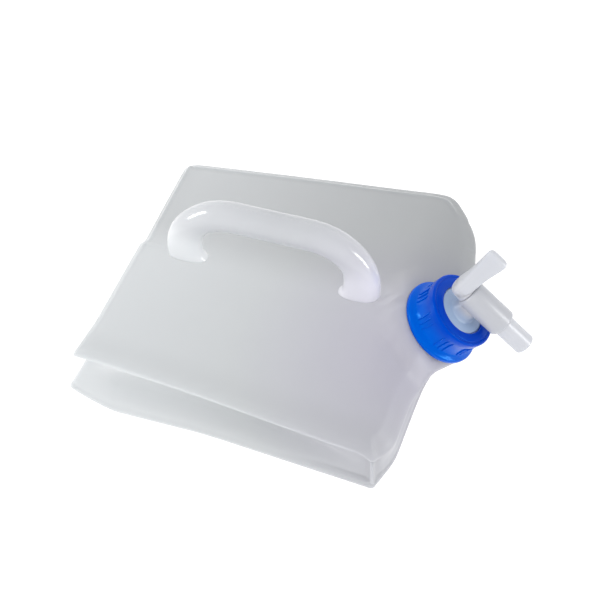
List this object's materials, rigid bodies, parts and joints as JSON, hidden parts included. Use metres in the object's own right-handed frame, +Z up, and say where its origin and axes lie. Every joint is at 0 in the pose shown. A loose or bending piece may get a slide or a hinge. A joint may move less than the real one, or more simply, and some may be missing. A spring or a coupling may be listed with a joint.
{
  "type": "folding water carrier",
  "caption": "Collapsible translucent water carrier, folded flat, with an arched carrying handle, a tilted filler neck, a ribbed screw ring and a lever tap.",
  "frame": {"origin": "on the flat underside, under the middle of the folded body", "axes": "+X along the carrying handle toward the filler neck, +Z up, -Y toward the side nearest the viewer"},
  "size_m": [0.325, 0.25, 0.1336],
  "materials": {
    "milky_polyethylene": "milky translucent, semi-gloss",
    "blue_polypropylene": "glossy blue",
    "white_polypropylene": "glossy translucent white",
    "white_rubber": "matt off-white"
  },
  "bodies": {
    "base": {"lower_panel": "milky_polyethylene", "front_wall": "milky_polyethylene", "rear_wall": "milky_polyethylene", "left_wall": "milky_polyethylene", "right_wall": "milky_polyethylene"},
    "top": {"upper_panel": "milky_polyethylene", "carry_handle": "milky_polyethylene", "filler_neck": "milky_polyethylene"},
    "seal": {"seal_washer": "white_rubber"},
    "ring": {"screw_ring": "blue_polypropylene"},
    "tap_body": {"tap_housing": "white_polypropylene"},
    "tap_lever": {"tap_plug": "white_polypropylene"}
  },
  "joints": [
    {"name": "carrier_unfold", "type": "slide", "parent": "base", "child": "top", "axis": [0, 0, 1], "range_m": [0, 0.165], "deforming": ["front_wall", "rear_wall", "left_wall", "right_wall"]},
    {"name": "cap_lift", "type": "slide", "parent": "top", "child": "seal", "axis": [0.5779, 0, 0.8161], "range_m": [0, 0.01]},
    {"name": "ring_turn", "type": "hinge", "parent": "seal", "child": "ring", "pos_m": [0.1307, 0, 0.05065], "axis": [0.5779, 0, 0.8161], "range_deg": [0, 900]},
    {"name": "tap_swivel", "type": "hinge", "parent": "seal", "child": "tap_body", "pos_m": [0.1307, 0, 0.05065], "axis": [0.5779, 0, 0.8161], "continuous": true},
    {"name": "tap_turn", "type": "hinge", "parent": "tap_body", "child": "tap_lever", "pos_m": [0.15468, 0, 0.08452], "axis": [0.8094, -0.1286, -0.5731], "range_deg": [0, 90]}
  ],
  "couplings": [
    {"joint": "cap_lift", "follows": "ring_turn", "m_per_rad": 0.0006366}
  ]
}
